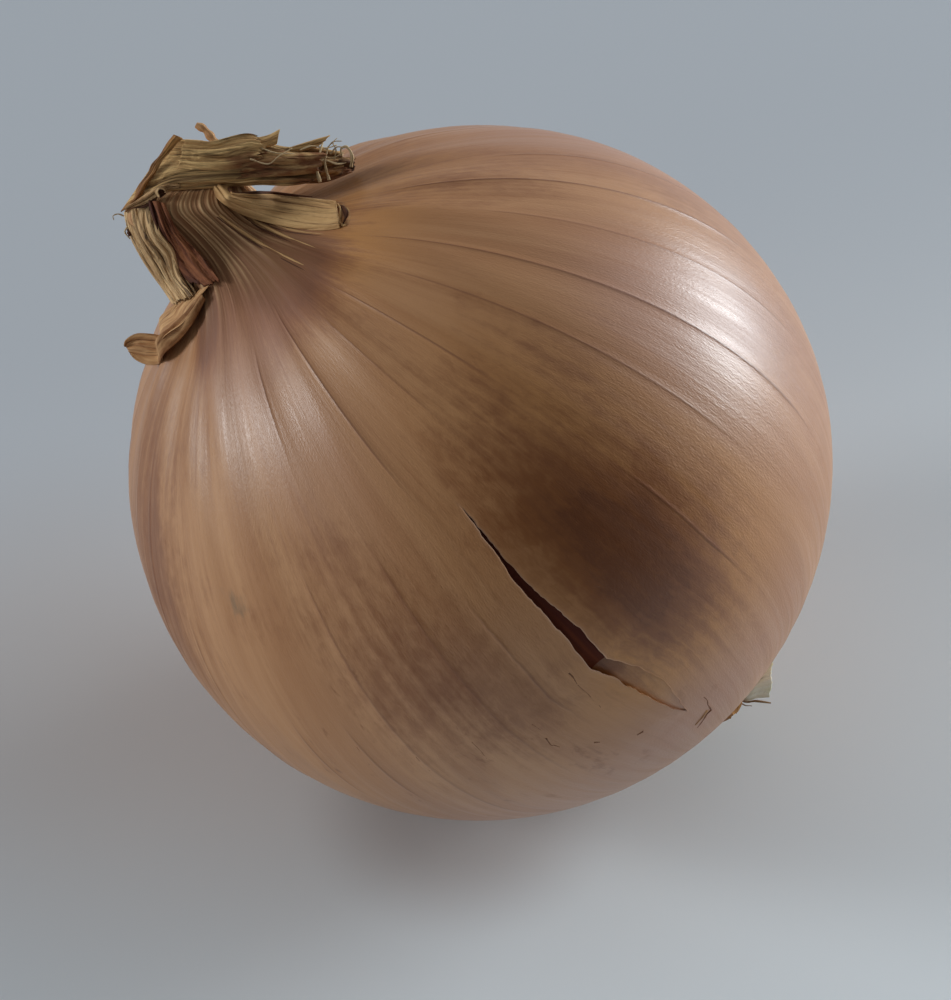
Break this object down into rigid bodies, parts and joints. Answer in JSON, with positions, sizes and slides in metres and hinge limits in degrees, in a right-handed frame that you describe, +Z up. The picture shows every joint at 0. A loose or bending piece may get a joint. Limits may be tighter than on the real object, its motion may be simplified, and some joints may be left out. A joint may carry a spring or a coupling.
{
  "type": "onion",
  "caption": "Round brown onion lying on its side, with papery split skin, a folded dry neck, torn leaf ends and a root tuft.",
  "frame": {"origin": "middle of the small flat spot that the onion rests on, under the bulb's centre", "axes": "+Z up from the table, -X the side that the neck leans towards, with the bulb's axis in the X-Z plane and its neck end 48 degrees above the horizon"},
  "size_m": [0.0785, 0.0758, 0.0783],
  "materials": {
    "papery_skin": "thin dry outer skin, light brown with darker streaks and veins from neck to root, with a silky sheen",
    "inner_scale": "smooth brown inner scale seen through the split, satin",
    "dried_leaf": "dry fibrous leaf, grey-tan to brown, matt, with cracks along its length",
    "dried_root": "dry cream root fibres with brown ends, matt"
  },
  "bodies": {
    "root": {"bulb": "inner_scale", "outer_skin": "papery_skin", "neck_fold": "dried_leaf", "neck_strand": "dried_leaf", "shoulder_leaf": "dried_leaf", "peeled_strip": "papery_skin", "root_plate": "dried_root"}
  },
  "joints": []
}
